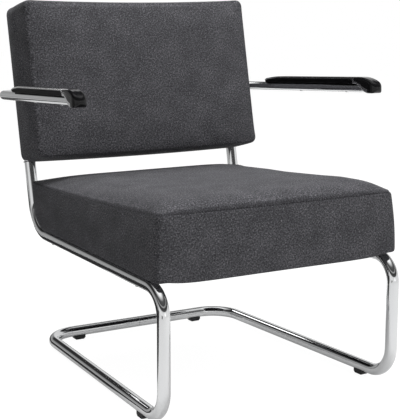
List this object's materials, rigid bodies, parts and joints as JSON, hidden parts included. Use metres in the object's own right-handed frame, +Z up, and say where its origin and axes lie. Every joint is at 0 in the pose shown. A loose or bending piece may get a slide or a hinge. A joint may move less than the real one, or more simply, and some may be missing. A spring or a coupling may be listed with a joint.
{
  "type": "upholstered chair",
  "caption": "Low upholstered lounge chair: crowned seat and back cushions on a bent round-tube sled frame, with a tube arm bow that carries slim dark arm pads.",
  "frame": {"origin": "centre of the bounding box on the floor, under the glides", "axes": "+Z up, +Y to the rear of the chair, +X to the right of a viewer who faces the chair's front"},
  "size_m": [0.7292, 0.7377, 0.798],
  "materials": {
    "chrome": "polished plating",
    "steel": "zinc plated",
    "black_plastic": "moulded, fine matt",
    "glide": "moulded, fine matt",
    "timber": "planed, unfinished",
    "webbing": "woven elastic strap",
    "padding": "open-cell foam",
    "upholstery": "woven wool blend with a fine fleck",
    "lining": "thin bonded cloth",
    "arm_pad": "polished black"
  },
  "bodies": {
    "root": {"frame_tube_left": "chrome", "frame_tube_right": "chrome", "frame_joint_sleeve": "steel", "upright_plug_left": "black_plastic", "upright_plug_right": "black_plastic", "glide_front_left": "glide", "glide_front_right": "glide", "glide_rear_left": "glide", "glide_rear_right": "glide", "glide_screws": "steel", "seat_rail_left": "timber", "seat_rail_right": "timber", "seat_rail_front": "timber", "seat_rail_rear": "timber", "seat_corner_blocks": "timber", "seat_webbing_cross": "webbing", "seat_webbing_long": "webbing", "seat_foam": "padding", "seat_cover": "upholstery", "seat_dust_cloth": "lining", "seat_bolts": "steel", "seat_inserts": "steel", "back_board": "timber", "back_board_screws": "steel", "back_rear_pad": "padding", "back_foam": "padding", "back_cover": "upholstery", "back_tee_nuts": "steel", "arm_bow": "chrome", "arm_spacers": "chrome", "arm_bolts": "chrome", "arm_pad_left": "arm_pad", "arm_pad_right": "arm_pad", "arm_pad_screws": "chrome"}
  },
  "joints": []
}
